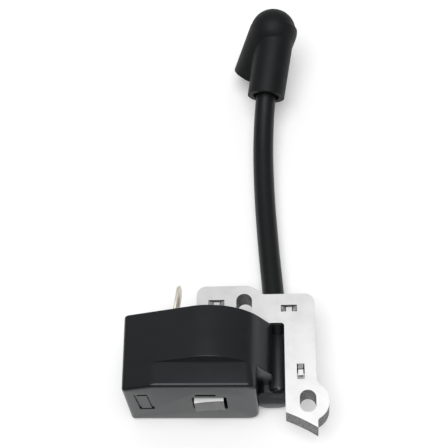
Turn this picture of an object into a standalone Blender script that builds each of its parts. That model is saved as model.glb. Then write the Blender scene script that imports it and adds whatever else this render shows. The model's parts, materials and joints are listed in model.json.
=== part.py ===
"""Ignition coil of a small petrol engine: laminated core, potted coil case, lead and plug cap.

Dimensions are in millimetres; make_object turns them into Blender's metres.
Origin: on the underside of the core, where the centre line of the free leg (x = 0) meets the
centre line of the yoke (y = 0). +Z is the stacking direction of the sheets, +Y points away from
the flywheel, and the coil case sits on the second leg, on the -X side.
"""

from math import asin, atan2, cos, degrees, hypot, pi, radians, sin, sqrt, tan

import bmesh
import bpy
from mathutils import Matrix, Vector

MM = 0.001

# Laminated core
SHEETS = 11
SHEET_THICKNESS = 0.65
SHEET_GAP = 0.05
SHEET_PITCH = SHEET_THICKNESS + SHEET_GAP
STACK = SHEETS * SHEET_PITCH - SHEET_GAP
LEG_WIDTH = 9.6
LEG_PITCH = 27.6
YOKE_DEPTH = 10.06
YOKE_BACK_LUG = 8.22
CORNER_RADIUS = 3.0
FLYWHEEL_CENTRE = (-24.3, -83.5)
FLYWHEEL_RADIUS = 52.7

# Screw slots for M4 screws, each in a round lug
SLOT_WIDTH = 4.9
SLOT_LENGTH = 7.06
YOKE_SLOT = (-17.3, 1.77)
LEG_SLOT = (1.98, -31.05)
LUG_RADIUS = 6.45
YOKE_LUG_FILLET = 2.0
LEG_LUG_FILLET = 3.0
TIP_FILLET = 1.2

# Stamped tabs that lock the sheets together: centre and the angle of the long side
TAB_LENGTH = 5.0
TAB_WIDTH = 2.3
TAB_DEPTH = 0.45
# A tab's root lies this far inside its sheet, so that no two faces share a plane
TAB_ROOT = 0.05
TABS = (((-26.1, 2.2), 0.0), ((-3.2, 0.0), 0.0), ((0.0, -21.45), 90.0))

# Coil case, a moulded shell that is open at its underside and filled with resin
COIL_X = -LEG_PITCH
COIL_Z = STACK / 2
CASE_FRONT = -29.93
CASE_STEP = -22.13
CASE_BACK = -YOKE_DEPTH / 2 - 0.12
CASE_BOTTOM = -9.8
CASE_LEFT = COIL_X - 26.3
CASE_RIGHT = COIL_X + 14.4
CASE_REAR_RIGHT = COIL_X + 18.8
CASE_EAVE = 14.4
CASE_SHELF = 17.35
SHELF_CHAMFER = 2.2
ROOF_RADIUS = 17.85
# Degrees above the horizontal at which the round roof runs out into the straight right flank
FLANK_ANGLE = 32.4
# The nose's roof lies this far below the rear one, so that the two don't share a plane
NOSE_DROP = 0.05
NOSE_OVERLAP = 2.0
WALL = 1.8
# The tower's bore cuts into the right wall, which is thicker by this factor
TOWER_SIDE_WALL = 1.6
CLEARANCE = 0.3

# High-tension tower on the case
TOWER = (-7.1, -4.7)
TOWER_RADIUS = 4.9
TOWER_BORE = 3.8
TOWER_BORE_DEPTH = 13.0
BOSS = (-8.6, -3.8)
BOSS_FRONT = -26.73
BOSS_RADIUS = 5.25
BOSS_WEB = (-7.4, 1.4)
SPIKE_HOLE_RADIUS = 1.1
LINK_HOLE_RADIUS = 0.65

# High-tension lead: a curve from the tower's mouth to the mouth of the plug cap
LEAD_RADIUS = 3.5
CONDUCTOR_RADIUS = 0.8
LEAD_BORE = 1.0
TOWER_MOUTH = Vector((TOWER[0], CASE_BACK, TOWER[1]))
CAP_MOUTH = Vector((-9.81, 87.3, 2.1))
LEAD_START_DIRECTION = Vector((-0.06, 1.0, 0.0)).normalized()
LEAD_START_REACH = 23.5
LEAD_END_REACH = 29.8
LEAD_IN_TOWER = 10.0
LEAD_IN_CAP = 12.0
LEAD_JOINTS = (17.0, 37.0, 57.0, 77.0)
LEAD_END_GAP = 0.125

# Rubber plug cap
CAP_HEAD = Vector((-6.78, 110.7, 9.95))
CAP_RIM = Vector((-13.72, 100.9, -4.13))
CAP_LEAD_RADIUS = 6.6
CAP_HEAD_RADIUS = 8.25
CAP_PLUG_RADIUS = 8.6
CAP_PLUG_BORE = 6.0
CLIP_TURNS = 3
CLIP_RADIUS = 4.5
CLIP_WIRE_RADIUS = 0.5
CLIP_FROM_RIM = 5.5
CLIP_LENGTH = 6.5
CAP_LEAD_DIRECTION = (CAP_HEAD - CAP_MOUTH).normalized()

# Windings
BOBBIN_WALL = 0.8
PRIMARY_FRONT = -25.6
PRIMARY_BACK = -7.5
PRIMARY_BUILD = 1.0
SECONDARY_FRONT = -20.2
SECONDARY_RADIUS = 9.9
SECONDARY_FLANGE_RADIUS = 12.3
SECONDARY_WIRE_RADIUS = 11.9
SECTIONS = 4
SECTION_WIDTH = 1.9
FLANGE = 0.6
SECONDARY_BACK = SECONDARY_FRONT + SECTIONS * SECTION_WIDTH + (SECTIONS + 1) * FLANGE

# Trigger circuit, on a board that stands in the left of the case
BOARD_X = -48.8
BOARD_THICKNESS = 1.2
BOARD_FRONT = -26.5
BOARD_BACK = -8.9
BOARD_LOW = -5.8
BOARD_HIGH = 11.2
# Components on the board's right face; a box is its low and high corner in (y, z)
TRANSISTOR = ((-25.6, -4.9), (-17.4, 2.7))
COMPONENT_HEIGHT = 4.2
CAPACITOR = (-12.8, -1.4)
CAPACITOR_RADIUS = 2.6
DIODE = (-25.2, 9.2)
DIODE_LENGTH = 5.0
DIODE_RADIUS = 1.2
RESISTORS = ((-18.6, 5.6), (-14.0, 5.6))
RESISTOR_LENGTH = 3.6
RESISTOR_RADIUS = 0.95
EARTH_STRIP = (-27.4, -26.0)
EARTH_STRIP_THICKNESS = 0.5

# Stop terminal, a tinned blade that stands out of the back of the case
BLADE_X = -38.3
BLADE_THICKNESS = 0.8
BLADE_LOW = 7.7
BLADE_HIGH = 14.0
BLADE_TIP = 6.5
BLADE_HOLE_FROM_TIP = 5.4
BLADE_HOLE_RADIUS = 0.8
FOOT_Y = -8.4

# Lead spike in the tower and the wire that feeds it
SPIKE_RADIUS = 0.8
SPIKE_FRONT = -23.4
SPIKE_BACK = -12.2
LINK_Y = -18.65
LINK_END_X = -18.8
LINK_RADIUS = 0.35

ROUND_STEPS = 32


# ---------------------------------------------------------------- meshes and materials


def clear_scene():
    for existing in list(bpy.data.objects):
        bpy.data.objects.remove(existing, do_unlink=True)


def material(name, colour, roughness, metallic=0.0):
    made = bpy.data.materials.get(name)
    if made:
        return made
    made = bpy.data.materials.new(name)
    made.use_nodes = True
    shader = made.node_tree.nodes["Principled BSDF"]
    shader.inputs["Base Color"].default_value = (*colour, 1.0)
    shader.inputs["Roughness"].default_value = roughness
    shader.inputs["Metallic"].default_value = metallic
    made.diffuse_color = (*colour, 1.0)
    return made


def make_object(name, bm, finish=None, origin=(0.0, 0.0, 0.0)):
    """Turn a bmesh in millimetres into an object in metres whose origin is at `origin`."""
    bmesh.ops.recalc_face_normals(bm, faces=bm.faces)
    bmesh.ops.translate(bm, verts=bm.verts, vec=-Vector(origin))
    bmesh.ops.scale(bm, verts=bm.verts, vec=(MM, MM, MM))
    mesh = bpy.data.meshes.new(name)
    bm.to_mesh(mesh)
    bm.free()
    mesh.shade_smooth()
    mesh.set_sharp_from_angle(angle=radians(30))
    if finish:
        mesh.materials.append(finish)
    made = bpy.data.objects.new(name, mesh)
    made.location = Vector(origin) * MM
    bpy.context.collection.objects.link(made)
    return made


def combine(target, tool, operation="DIFFERENCE"):
    """Cut `tool` out of `target`, or join it on, with a live Boolean."""
    tool.hide_render = True
    tool.display_type = "WIRE"
    modifier = target.modifiers.new(tool.name, "BOOLEAN")
    modifier.operation = operation
    modifier.object = tool
    return target


def prism(outline, start, end, plane="XY"):
    """Extrude a 2-D outline from `start` to `end`: plane XY along Z, plane XZ along Y."""
    bm = bmesh.new()
    if plane == "XY":
        corners = [bm.verts.new((u, v, start)) for u, v in outline]
        travel = (0.0, 0.0, end - start)
    else:
        corners = [bm.verts.new((u, start, v)) for u, v in outline]
        travel = (0.0, end - start, 0.0)
    base = bm.faces.new(corners)
    grown = bmesh.ops.extrude_face_region(bm, geom=[base])["geom"]
    moved = [part for part in grown if isinstance(part, bmesh.types.BMVert)]
    bmesh.ops.translate(bm, verts=moved, vec=travel)
    return bm


def box(low, high):
    bm = bmesh.new()
    bmesh.ops.create_cube(bm, size=1.0)
    bmesh.ops.scale(bm, verts=bm.verts, vec=[b - a for a, b in zip(low, high)])
    bmesh.ops.translate(bm, verts=bm.verts, vec=[(a + b) / 2 for a, b in zip(low, high)])
    return bm


def cylinder(start, end, radius, steps=ROUND_STEPS):
    start, end = Vector(start), Vector(end)
    bm = bmesh.new()
    bmesh.ops.create_cone(
        bm, cap_ends=True, segments=steps, radius1=radius, radius2=radius, depth=(end - start).length
    )
    turn = (end - start).to_track_quat("Z", "Y").to_matrix().to_4x4()
    bmesh.ops.transform(bm, matrix=Matrix.Translation((start + end) / 2) @ turn, verts=bm.verts)
    return bm


def turned(stations, base, direction, steps=ROUND_STEPS):
    """A round body through rings at (distance along `direction` from `base`, radius)."""
    side = direction.orthogonal().normalized()
    other = direction.cross(side)
    bm = bmesh.new()
    rings = []
    for distance, radius in stations:
        turns = [2 * pi * i / steps for i in range(steps)]
        centre = base + distance * direction
        rings.append([bm.verts.new(centre + radius * (cos(a) * side + sin(a) * other)) for a in turns])
    for near, far in zip(rings, rings[1:]):
        for i in range(steps):
            j = (i + 1) % steps
            bm.faces.new((near[i], near[j], far[j], far[i]))
    bm.faces.new(list(reversed(rings[0])))
    bm.faces.new(rings[-1])
    return bm


def arc(centre, radius, start, end, steps):
    """Points of an arc from `start` to `end` degrees, both ends included."""
    turns = [radians(start + (end - start) * i / steps) for i in range(steps + 1)]
    return [(centre[0] + radius * cos(a), centre[1] + radius * sin(a)) for a in turns]


def rounded_rectangle(centre, width, height, radius, steps=3):
    points = []
    for quarter, (sx, sy) in enumerate(((1, 1), (-1, 1), (-1, -1), (1, -1))):
        corner = (centre[0] + sx * (width / 2 - radius), centre[1] + sy * (height / 2 - radius))
        points += arc(corner, radius, quarter * 90, quarter * 90 + 90, steps)
    return points


# ---------------------------------------------------------------- laminated core


def angle_of(centre, point):
    return degrees(atan2(point[1] - centre[1], point[0] - centre[0]))


def pole_arc(left, right, steps=3):
    """The pole face between two x positions, on the circle just outside the flywheel."""
    centre_x, centre_y = FLYWHEEL_CENTRE
    points = []
    for i in range(steps + 1):
        x = left + (right - left) * i / steps
        points.append((x, centre_y + sqrt(FLYWHEEL_RADIUS**2 - (x - centre_x) ** 2)))
    return points


def leg_lug(edge):
    """The lug on the free leg's outer edge, from its lower fillet to its upper one."""
    fillets = []
    for radius, side in ((TIP_FILLET, -1), (LEG_LUG_FILLET, 1)):
        x = edge + radius
        reach = sqrt((LUG_RADIUS + radius) ** 2 - (x - LEG_SLOT[0]) ** 2)
        fillets.append(((x, LEG_SLOT[1] + side * reach), radius))
    (low, low_radius), (high, high_radius) = fillets
    low_angle = angle_of(LEG_SLOT, low)
    high_angle = angle_of(LEG_SLOT, high)
    points = arc(low, low_radius, 180, 180 + low_angle, 2)
    points += arc(LEG_SLOT, LUG_RADIUS, low_angle, high_angle, 10)[1:-1]
    points += arc(high, high_radius, 180 + high_angle, 180, 2)
    return points


def yoke_lug(edge):
    """The back of the yoke from the free leg's side up on to the lug around the yoke slot."""
    y = edge + YOKE_LUG_FILLET
    reach = sqrt((LUG_RADIUS + YOKE_LUG_FILLET) ** 2 - (y - YOKE_SLOT[1]) ** 2)
    fillet = (YOKE_SLOT[0] + reach, y)
    meet = angle_of(YOKE_SLOT, fillet)
    return arc(fillet, YOKE_LUG_FILLET, 270, 180 + meet, 2) + arc(YOKE_SLOT, LUG_RADIUS, meet, 90, 4)[1:]


def sheet_outline():
    half = LEG_WIDTH / 2
    front = -YOKE_DEPTH / 2
    back = YOKE_DEPTH / 2
    far_left = COIL_X - half
    outline = pole_arc(far_left, COIL_X + half)
    outline += [(COIL_X + half, front), (-half, front)]
    outline += pole_arc(-half, half)
    outline += leg_lug(half)
    outline += arc((half - CORNER_RADIUS, back - CORNER_RADIUS), CORNER_RADIUS, 0, 90, 3)
    outline += yoke_lug(back)
    outline += arc((far_left + CORNER_RADIUS, YOKE_BACK_LUG - CORNER_RADIUS), CORNER_RADIUS, 90, 180, 3)
    return outline


def slot_outline(centre):
    half = SLOT_WIDTH / 2
    straight = (SLOT_LENGTH - SLOT_WIDTH) / 2
    top = arc((centre[0], centre[1] + straight), half, 0, 180, 6)
    return top + arc((centre[0], centre[1] - straight), half, 180, 360, 6)


def tab_wedge(centre, angle, top, depth):
    """A V-shaped tab: its trough runs across the tab, and the ramps run along it."""
    bm = bmesh.new()
    half = TAB_LENGTH / 2
    floor = TAB_LENGTH / 5
    section = ((-half, 0.0), (half, 0.0), (floor, -depth), (-floor, -depth))
    near = [bm.verts.new((u, -TAB_WIDTH / 2, w)) for u, w in section]
    far = [bm.verts.new((u, TAB_WIDTH / 2, w)) for u, w in section]
    bm.faces.new(near)
    bm.faces.new(list(reversed(far)))
    for i in range(4):
        j = (i + 1) % 4
        bm.faces.new((near[j], near[i], far[i], far[j]))
    place = Matrix.Translation((*centre, top)) @ Matrix.Rotation(radians(angle), 4, "Z")
    bmesh.ops.transform(bm, matrix=place, verts=bm.verts)
    return bm


def split_at_x(target, positions):
    """Extra edges across the sheet keep each flat facet of its faces to one region."""
    bm = bmesh.new()
    bm.from_mesh(target.data)
    for x in positions:
        everything = bm.verts[:] + bm.edges[:] + bm.faces[:]
        bmesh.ops.bisect_plane(bm, geom=everything, plane_co=(x * MM, 0, 0), plane_no=(1, 0, 0))
    bm.to_mesh(target.data)
    bm.free()


def build_core(steel):
    """Eleven sheets; the tabs of each drop into the dents of the one below, and the lowest is punched."""
    beside_lead = (TOWER[0] - TOWER_RADIUS, TOWER[0] + TOWER_RADIUS)
    for number in range(1, SHEETS + 1):
        low = (number - 1) * SHEET_PITCH
        top = low + SHEET_THICKNESS
        sheet = make_object(f"lamination_{number:02d}", prism(sheet_outline(), low, top), steel)
        split_at_x(sheet, beside_lead)
        for slot_name, centre in (("yoke_slot", YOKE_SLOT), ("leg_slot", LEG_SLOT)):
            cutter = make_object(f"{slot_name}_{number:02d}", prism(slot_outline(centre), low - 1, top + 1))
            combine(sheet, cutter)
        for i, (centre, angle) in enumerate(TABS, 1):
            if number > 1:
                drop = tab_wedge(centre, angle, low + TAB_ROOT, TAB_DEPTH)
                combine(sheet, make_object(f"tab_{i}_{number:02d}", drop), "UNION")
                dent = tab_wedge(centre, angle, top + TAB_ROOT, TAB_DEPTH)
                combine(sheet, make_object(f"dent_{i}_{number:02d}", dent))
            else:
                hole = tab_wedge(centre, angle, top + TAB_ROOT, 3 * SHEET_THICKNESS)
                combine(sheet, make_object(f"punch_{i}", hole))


# ---------------------------------------------------------------- coil case and resin


def roof_slope():
    """Slope of the roof's left side, in radians: it runs from the eave to touch the round roof."""
    run = COIL_X - CASE_LEFT
    drop = COIL_Z - CASE_EAVE
    return asin(ROOF_RADIUS / hypot(run, drop)) + atan2(drop, run)


def rear_section(inset, bottom):
    """The case behind the step: sloped on the left, round over the coil, a steep flank on the right."""
    slope = roof_slope()
    radius = ROOF_RADIUS - inset
    left = CASE_LEFT + inset
    right = CASE_REAR_RIGHT - inset * TOWER_SIDE_WALL
    flank = radians(FLANK_ANGLE)
    shoulder = COIL_Z + (radius - (right - COIL_X) * cos(flank)) / sin(flank)
    touch = 90 + degrees(slope)
    touch_x = COIL_X + radius * cos(radians(touch))
    touch_z = COIL_Z + radius * sin(radians(touch))
    eave = touch_z - (touch_x - left) * tan(slope)
    roof = arc((COIL_X, COIL_Z), radius, FLANK_ANGLE, touch, 14)
    return [(left, bottom), (right, bottom), (right, shoulder)] + roof + [(left, eave)]


def front_section(inset, bottom):
    """The case in front of the step: the same slope, cut off flat at the shelf."""
    left = CASE_LEFT + inset
    right = CASE_RIGHT - inset
    eave = rear_section(inset, bottom)[-1][1] - NOSE_DROP
    shelf = CASE_SHELF - inset
    ridge = left + (shelf - eave) / tan(roof_slope())
    lower = [(left, bottom), (right, bottom), (right, shelf - SHELF_CHAMFER)]
    return lower + [(right - SHELF_CHAMFER, shelf), (ridge, shelf), (left, eave)]


def case_block(name, inset, front, step, back, bottom, finish=None):
    block = make_object(name, prism(rear_section(inset, bottom), step, back, "XZ"), finish)
    nose = make_object(name + "_nose", prism(front_section(inset, bottom), front, step + NOSE_OVERLAP, "XZ"))
    return combine(block, nose, "UNION")


def leg_window(extra):
    return rounded_rectangle((COIL_X, COIL_Z), LEG_WIDTH + 2 * extra, STACK + 2 * extra, 0.3 + extra / 2, 2)


def build_case(plastic):
    case = case_block("coil_case", 0.0, CASE_FRONT, CASE_STEP, CASE_BACK, CASE_BOTTOM, plastic)
    tower_front = (TOWER[0], CASE_STEP + 1.0, TOWER[1])
    tower_back = (TOWER[0], CASE_BACK, TOWER[1])
    combine(case, make_object("tower_tube", cylinder(tower_front, tower_back, TOWER_RADIUS)), "UNION")
    boss_start = (BOSS[0], BOSS_FRONT, BOSS[1])
    boss_end = (BOSS[0], CASE_STEP + NOSE_OVERLAP, BOSS[1])
    combine(case, make_object("tower_boss", cylinder(boss_start, boss_end, BOSS_RADIUS)), "UNION")
    web_low = (CASE_RIGHT - WALL / 2, BOSS_FRONT + 0.5, BOSS_WEB[0])
    web_high = (BOSS[0], CASE_STEP + NOSE_OVERLAP, BOSS_WEB[1])
    combine(case, make_object("tower_web", box(web_low, web_high)), "UNION")
    below = CASE_BOTTOM - 5.0
    hollow = case_block("case_hollow", WALL, CASE_FRONT + WALL, CASE_STEP + WALL, CASE_BACK - WALL, below)
    combine(case, hollow)
    window = prism(leg_window(CLEARANCE), CASE_FRONT - 1, CASE_BACK + 1, "XZ")
    combine(case, make_object("leg_window", window))
    bore_end = (TOWER[0], CASE_BACK - TOWER_BORE_DEPTH, TOWER[1])
    mouth = (TOWER[0], CASE_BACK + 1.0, TOWER[1])
    combine(case, make_object("tower_bore", cylinder(bore_end, mouth, TOWER_BORE)))
    spike_hole = cylinder((TOWER[0], SPIKE_FRONT - CLEARANCE, TOWER[1]), mouth, SPIKE_HOLE_RADIUS, 16)
    combine(case, make_object("spike_hole", spike_hole))
    combine(case, make_object("link_hole_case", link_channel()))
    combine(case, make_object("blade_slot", blade_slot()))
    return case


def link_channel():
    end = LINK_END_X - 2 * CLEARANCE
    return cylinder((TOWER[0], LINK_Y, TOWER[1]), (end, LINK_Y, TOWER[1]), LINK_HOLE_RADIUS, 12)


def blade_slot():
    gap = 0.1
    half = BLADE_THICKNESS / 2 + gap
    low = (BLADE_X - half, CASE_BACK - WALL - 1.0, BLADE_LOW - gap)
    return box(low, (BLADE_X + half, CASE_BACK + 1.0, BLADE_HIGH + gap))


def build_resin(finish):
    """The resin fills the case around the windings and the trigger circuit."""
    gap = 0.2
    inset = WALL + gap
    bottom = CASE_BOTTOM + 0.4
    resin = case_block(
        "potting_resin", inset, CASE_FRONT + inset, CASE_STEP + inset, CASE_BACK - inset, bottom, finish
    )
    winding = cylinder(
        (COIL_X, SECONDARY_FRONT - CLEARANCE, COIL_Z), (COIL_X, SECONDARY_BACK + CLEARANCE, COIL_Z),
        SECONDARY_FLANGE_RADIUS + CLEARANCE,
    )
    combine(resin, make_object("secondary_space", winding))
    extra = CLEARANCE + BOBBIN_WALL + PRIMARY_BUILD + 2 * CLEARANCE
    coil = prism(leg_window(extra), PRIMARY_FRONT - CLEARANCE, PRIMARY_BACK + CLEARANCE, "XZ")
    combine(resin, make_object("primary_space", coil))
    combine(resin, make_object("leg_space", prism(leg_window(CLEARANCE), CASE_FRONT, CASE_BACK, "XZ")))
    space = 2 * CLEARANCE
    low = (BOARD_X - BOARD_THICKNESS, BOARD_FRONT - space, BOARD_LOW - space)
    high = (COIL_X - SECONDARY_FLANGE_RADIUS + space, BOARD_BACK + space, BOARD_HIGH + space)
    combine(resin, make_object("circuit_space", box(low, high)))
    strip_low = (BOARD_X, EARTH_STRIP[0] - CLEARANCE, COIL_Z - space)
    strip = box(strip_low, (COIL_X, PRIMARY_FRONT, COIL_Z + space))
    combine(resin, make_object("strip_space", strip))
    foot_low = (BOARD_X - space, FOOT_Y - space, BLADE_LOW - CLEARANCE)
    foot = box(foot_low, (BLADE_X + BLADE_THICKNESS, CASE_BACK, BLADE_HIGH + CLEARANCE))
    combine(resin, make_object("foot_space", foot))
    combine(resin, make_object("link_hole_resin", link_channel()))
    return resin


# ---------------------------------------------------------------- windings


def build_windings(plastic, thick_wire, fine_wire):
    tube = CLEARANCE + BOBBIN_WALL
    body = prism(leg_window(tube), PRIMARY_FRONT, PRIMARY_BACK, "XZ")
    bobbin = make_object("primary_bobbin", body, plastic)
    for name, start in (("front", PRIMARY_FRONT), ("back", PRIMARY_BACK - FLANGE)):
        flange = prism(leg_window(tube + PRIMARY_BUILD + CLEARANCE), start, start + FLANGE, "XZ")
        combine(bobbin, make_object(f"bobbin_flange_{name}", flange), "UNION")
    hole = prism(leg_window(CLEARANCE), PRIMARY_FRONT - 1, PRIMARY_BACK + 1, "XZ")
    combine(bobbin, make_object("primary_bobbin_hole", hole))

    start = PRIMARY_FRONT + FLANGE + CLEARANCE
    end = PRIMARY_BACK - FLANGE - CLEARANCE
    outer = prism(leg_window(tube + PRIMARY_BUILD), start, end, "XZ")
    winding = make_object("primary_winding", outer, thick_wire)
    inner = prism(leg_window(tube + CLEARANCE), start - 1, end + 1, "XZ")
    combine(winding, make_object("primary_winding_hole", inner))

    secondary = ring("secondary_bobbin", SECONDARY_FRONT, SECONDARY_BACK, SECONDARY_RADIUS, plastic)
    for i in range(SECTIONS + 1):
        y = SECONDARY_FRONT + i * (SECTION_WIDTH + FLANGE)
        disc = cylinder((COIL_X, y, COIL_Z), (COIL_X, y + FLANGE, COIL_Z), SECONDARY_FLANGE_RADIUS)
        combine(secondary, make_object(f"secondary_flange_{i}", disc), "UNION")
    drill(secondary, SECONDARY_RADIUS - BOBBIN_WALL)
    side = 0.2
    for i in range(SECTIONS):
        y = SECONDARY_FRONT + FLANGE + i * (SECTION_WIDTH + FLANGE)
        name = f"secondary_winding_{i + 1}"
        section = ring(name, y + side, y + SECTION_WIDTH - side, SECONDARY_WIRE_RADIUS, fine_wire)
        drill(section, SECONDARY_RADIUS + CLEARANCE)


def ring(name, start, end, radius, finish):
    return make_object(name, cylinder((COIL_X, start, COIL_Z), (COIL_X, end, COIL_Z), radius), finish)


def drill(target, radius):
    tool = cylinder((COIL_X, CASE_FRONT, COIL_Z), (COIL_X, CASE_BACK, COIL_Z), radius)
    combine(target, make_object(target.name + "_hole", tool))


# ---------------------------------------------------------------- trigger circuit and terminals


def build_circuit(board_finish, black, film, glass, tan_lacquer, tin):
    board_high = (BOARD_X + BOARD_THICKNESS, BOARD_BACK, BOARD_HIGH)
    make_object("circuit_board", box((BOARD_X, BOARD_FRONT, BOARD_LOW), board_high), board_finish)
    face = BOARD_X + BOARD_THICKNESS + 0.2
    top = face + COMPONENT_HEIGHT
    transistor = box((face, *TRANSISTOR[0]), (top, *TRANSISTOR[1]))
    make_object("switching_transistor", transistor, black)
    capacitor = cylinder((face, *CAPACITOR), (top, *CAPACITOR), CAPACITOR_RADIUS, 24)
    make_object("capacitor", capacitor, film)

    def lying(start, length, radius):
        x = face + radius + 0.1
        return cylinder((x, *start), (x, start[0] + length, start[1]), radius, 16)

    make_object("diode", lying(DIODE, DIODE_LENGTH, DIODE_RADIUS), glass)
    for i, start in enumerate(RESISTORS, 1):
        make_object(f"resistor_{i}", lying(start, RESISTOR_LENGTH, RESISTOR_RADIUS), tan_lacquer)
    leg_side = COIL_X - LEG_WIDTH / 2
    half = EARTH_STRIP_THICKNESS / 2
    strip_low = (face, EARTH_STRIP[0], COIL_Z - half)
    make_object("earth_strip", box(strip_low, (leg_side - 0.1, EARTH_STRIP[1], COIL_Z + half)), tin)


def build_stop_terminal(tin):
    """A pointed blade in the Y-Z plane with a small hole, on a foot that reaches the board."""
    middle = (BLADE_LOW + BLADE_HIGH) / 2
    chamfer = 1.6
    outline = [
        (FOOT_Y, BLADE_LOW),
        (BLADE_TIP - chamfer, BLADE_LOW),
        (BLADE_TIP, middle - 1.5),
        (BLADE_TIP, middle + 1.5),
        (BLADE_TIP - chamfer, BLADE_HIGH),
        (FOOT_Y, BLADE_HIGH),
    ]
    bm = bmesh.new()
    base = bm.faces.new([bm.verts.new((BLADE_X - BLADE_THICKNESS / 2, y, z)) for y, z in outline])
    grown = bmesh.ops.extrude_face_region(bm, geom=[base])["geom"]
    moved = [part for part in grown if isinstance(part, bmesh.types.BMVert)]
    bmesh.ops.translate(bm, verts=moved, vec=(BLADE_THICKNESS, 0.0, 0.0))
    blade = make_object("stop_terminal", bm, tin)
    foot_low = (BOARD_X + 0.4, FOOT_Y, BLADE_LOW)
    foot_high = (BLADE_X, FOOT_Y + BLADE_THICKNESS, BLADE_LOW + 3.0)
    combine(blade, make_object("terminal_foot", box(foot_low, foot_high)), "UNION")
    hole_y = BLADE_TIP - BLADE_HOLE_FROM_TIP
    hole = cylinder((BLADE_X - 2, hole_y, middle), (BLADE_X + 2, hole_y, middle), BLADE_HOLE_RADIUS, 16)
    combine(blade, make_object("terminal_hole", hole))


def build_spike(brass, copper):
    spike_start = (TOWER[0], SPIKE_FRONT, TOWER[1])
    spike_end = (TOWER[0], SPIKE_BACK, TOWER[1])
    make_object("lead_spike", cylinder(spike_start, spike_end, SPIKE_RADIUS, 16), brass)
    link_start = (TOWER[0] - SPIKE_RADIUS - 0.15, LINK_Y, TOWER[1])
    link_end = (LINK_END_X, LINK_Y, TOWER[1])
    make_object("high_tension_link", cylinder(link_start, link_end, LINK_RADIUS, 12), copper)


# ---------------------------------------------------------------- high-tension lead


def lead_controls():
    return (
        TOWER_MOUTH,
        TOWER_MOUTH + LEAD_START_REACH * LEAD_START_DIRECTION,
        CAP_MOUTH - LEAD_END_REACH * CAP_LEAD_DIRECTION,
        CAP_MOUTH,
    )


def lead_table(steps=400):
    """Distance along the lead and position, at even steps of the curve's parameter."""
    a, b, c, d = lead_controls()
    table = [(0.0, a.copy())]
    for i in range(1, steps + 1):
        t = i / steps
        here = (1 - t) ** 3 * a + 3 * (1 - t) ** 2 * t * b + 3 * (1 - t) * t**2 * c + t**3 * d
        table.append((table[-1][0] + (here - table[-1][1]).length, here))
    return table


LEAD_TABLE = lead_table()
LEAD_LENGTH = LEAD_TABLE[-1][0]


def lead_point(distance):
    """Position on the lead's centre line; it runs on straight inside the tower and the cap."""
    if distance <= 0.0:
        return TOWER_MOUTH + distance * Vector((0.0, 1.0, 0.0))
    if distance >= LEAD_LENGTH:
        return CAP_MOUTH + (distance - LEAD_LENGTH) * CAP_LEAD_DIRECTION
    for (near, a), (far, b) in zip(LEAD_TABLE, LEAD_TABLE[1:]):
        if far >= distance:
            return a.lerp(b, (distance - near) / (far - near))
    return CAP_MOUTH.copy()


def lead_frame(distance):
    """Position, sideways direction and upward direction of the lead at a distance along it."""
    tangent = (lead_point(distance + 0.5) - lead_point(distance - 0.5)).normalized()
    side = tangent.cross(Vector((0, 0, 1))).normalized()
    return lead_point(distance), side, side.cross(tangent)


def swept(stations, steps):
    """A closed body through rings at (distance, radius), joined end to end in a loop or capped."""
    bm = bmesh.new()
    rings = []
    for distance, radius in stations:
        centre, side, up = lead_frame(distance)
        turns = [2 * pi * i / steps for i in range(steps)]
        rings.append([bm.verts.new(centre + radius * (cos(a) * side + sin(a) * up)) for a in turns])
    closed = stations[0] == stations[-1]
    if closed:
        for vertex in rings.pop():
            bm.verts.remove(vertex)
    pairs = list(zip(rings, rings[1:])) + ([(rings[-1], rings[0])] if closed else [])
    for near, far in pairs:
        for i in range(steps):
            j = (i + 1) % steps
            bm.faces.new((near[i], near[j], far[j], far[i]))
    if not closed:
        bm.faces.new(list(reversed(rings[0])))
        bm.faces.new(rings[-1])
    return bm


def jacket_stations(start, end, round_start, round_end):
    """Outer skin with ball ends where the lead bends, then back through the bore."""
    spacing = 5.0
    ball = [radians(a) for a in (17, 44, 71)]
    outer = []
    first = start + (LEAD_RADIUS if round_start else 0.0)
    last = end - (LEAD_RADIUS if round_end else 0.0)
    if round_start:
        outer += [(first - LEAD_RADIUS * cos(a), LEAD_RADIUS * sin(a)) for a in ball]
    count = max(2, round((last - first) / spacing))
    outer += [(first + (last - first) * i / count, LEAD_RADIUS) for i in range(count + 1)]
    if round_end:
        outer += [(last + LEAD_RADIUS * cos(a), LEAD_RADIUS * sin(a)) for a in reversed(ball)]
    bore = [(distance, LEAD_BORE) for distance, _ in outer]
    bore_inner = [(outer[0][0], LEAD_BORE)] + bore[1:-1:2] + [(outer[-1][0], LEAD_BORE)]
    return outer + list(reversed(bore_inner)) + [outer[0]]


def build_lead(rubber, copper):
    ends = [-LEAD_IN_TOWER, *LEAD_JOINTS, LEAD_LENGTH + LEAD_IN_CAP]
    last = len(ends) - 2
    for i in range(last + 1):
        start = ends[i] + (LEAD_END_GAP if i > 0 else 0.0)
        end = ends[i + 1] - (LEAD_END_GAP if i < last else 0.0)
        origin = lead_point(ends[i])
        jacket = swept(jacket_stations(start, end, i > 0, i < last), 16)
        make_object(f"lead_jacket_{i + 1}", jacket, rubber, origin)
        near = ends[i] + (1.0 if i > 0 else 5.0)
        far = ends[i + 1] - (1.0 if i < last else 6.0)
        count = max(2, round((far - near) / 7.0))
        stations = [(near + (far - near) * k / count, CONDUCTOR_RADIUS) for k in range(count + 1)]
        make_object(f"lead_conductor_{i + 1}", swept(stations, 8), copper, origin)


# ---------------------------------------------------------------- plug cap


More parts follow.
